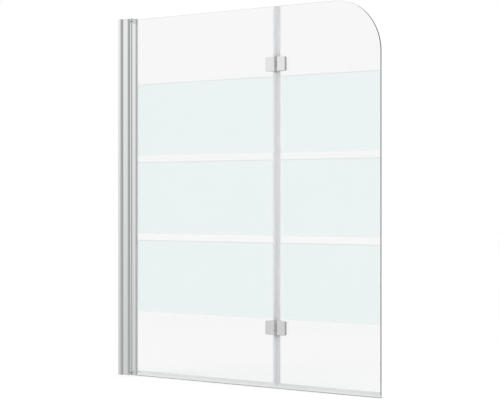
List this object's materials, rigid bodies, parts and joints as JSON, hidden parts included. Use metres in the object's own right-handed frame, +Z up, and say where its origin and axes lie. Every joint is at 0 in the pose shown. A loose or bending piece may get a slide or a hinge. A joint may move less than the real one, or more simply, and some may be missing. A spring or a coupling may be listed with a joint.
{
  "type": "bath screen",
  "caption": "Two-panel folding glass bath screen on an aluminium wall profile, with chrome glass hinges, frosted bands and soft seals; swings at the wall and folds at the middle.",
  "frame": {"origin": "on the wall face, in the middle plane of the glass, at the wall profile's lower end", "axes": "+X from the wall along the closed screen, -Y to the front, +Z up from the bath rim"},
  "size_m": [1.2, 0.0431, 1.4],
  "materials": {
    "polished_aluminium": "polished",
    "clear_glass": "clear, polished edges",
    "frosted_print": "frosted",
    "chrome": "polished",
    "steel": "plain",
    "clear_pvc": "translucent",
    "soft_pvc": "soft",
    "nylon": "plain",
    "grey_plastic": "satin"
  },
  "bodies": {
    "wall_side": {"wall_profile": "polished_aluminium", "wall_profile_bottom_cap": "grey_plastic", "wall_profile_top_cap": "grey_plastic", "pivot_post": "polished_aluminium", "post_wiper_seal": "soft_pvc", "post_fixing_screws": "steel", "post_screw_caps": "grey_plastic", "lower_pivot_bracket": "chrome", "upper_pivot_bracket": "chrome", "lower_pivot_pin": "steel", "upper_pivot_pin": "steel"},
    "inner_panel": {"glass_profile": "polished_aluminium", "lower_pivot_cap": "grey_plastic", "upper_pivot_cap": "grey_plastic", "lower_pivot_bush": "nylon", "upper_pivot_bush": "nylon", "glazing_gasket_front": "soft_pvc", "glazing_gasket_back": "soft_pvc", "inner_glass": "clear_glass", "inner_frosted_bands": "frosted_print", "inner_bottom_seal": "clear_pvc", "inner_edge_seal_bottom": "clear_pvc", "inner_edge_seal_middle": "clear_pvc", "inner_edge_seal_top": "clear_pvc", "upper_hinge_inner_leaf": "chrome", "upper_hinge_pin": "steel", "upper_hinge_washers": "nylon", "upper_hinge_inner_back_plate": "chrome", "upper_hinge_inner_pads": "soft_pvc", "upper_hinge_inner_sleeves": "nylon", "upper_hinge_inner_screws": "steel", "lower_hinge_inner_leaf": "chrome", "lower_hinge_pin": "steel", "lower_hinge_washers": "nylon", "lower_hinge_inner_back_plate": "chrome", "lower_hinge_inner_pads": "soft_pvc", "lower_hinge_inner_sleeves": "nylon", "lower_hinge_inner_screws": "steel"},
    "outer_panel": {"outer_glass": "clear_glass", "outer_frosted_bands": "frosted_print", "outer_bottom_seal": "clear_pvc", "outer_edge_seal_bottom": "clear_pvc", "outer_edge_seal_middle": "clear_pvc", "outer_edge_seal_top": "clear_pvc", "upper_hinge_outer_leaf": "chrome", "upper_hinge_bush": "nylon", "upper_hinge_outer_back_plate": "chrome", "upper_hinge_outer_pads": "soft_pvc", "upper_hinge_outer_sleeves": "nylon", "upper_hinge_outer_screws": "steel", "lower_hinge_outer_leaf": "chrome", "lower_hinge_bush": "nylon", "lower_hinge_outer_back_plate": "chrome", "lower_hinge_outer_pads": "soft_pvc", "lower_hinge_outer_sleeves": "nylon", "lower_hinge_outer_screws": "steel"}
  },
  "joints": [
    {"name": "wall_pivot", "type": "hinge", "parent": "wall_side", "child": "inner_panel", "pos_m": [0.056, 0, 0], "axis": [0, 0, 1], "range_deg": [-90, 90]},
    {"name": "panel_fold", "type": "hinge", "parent": "inner_panel", "child": "outer_panel", "pos_m": [0.758, -0.015, 0], "axis": [0, 0, -1], "range_deg": [0, 180]}
  ]
}
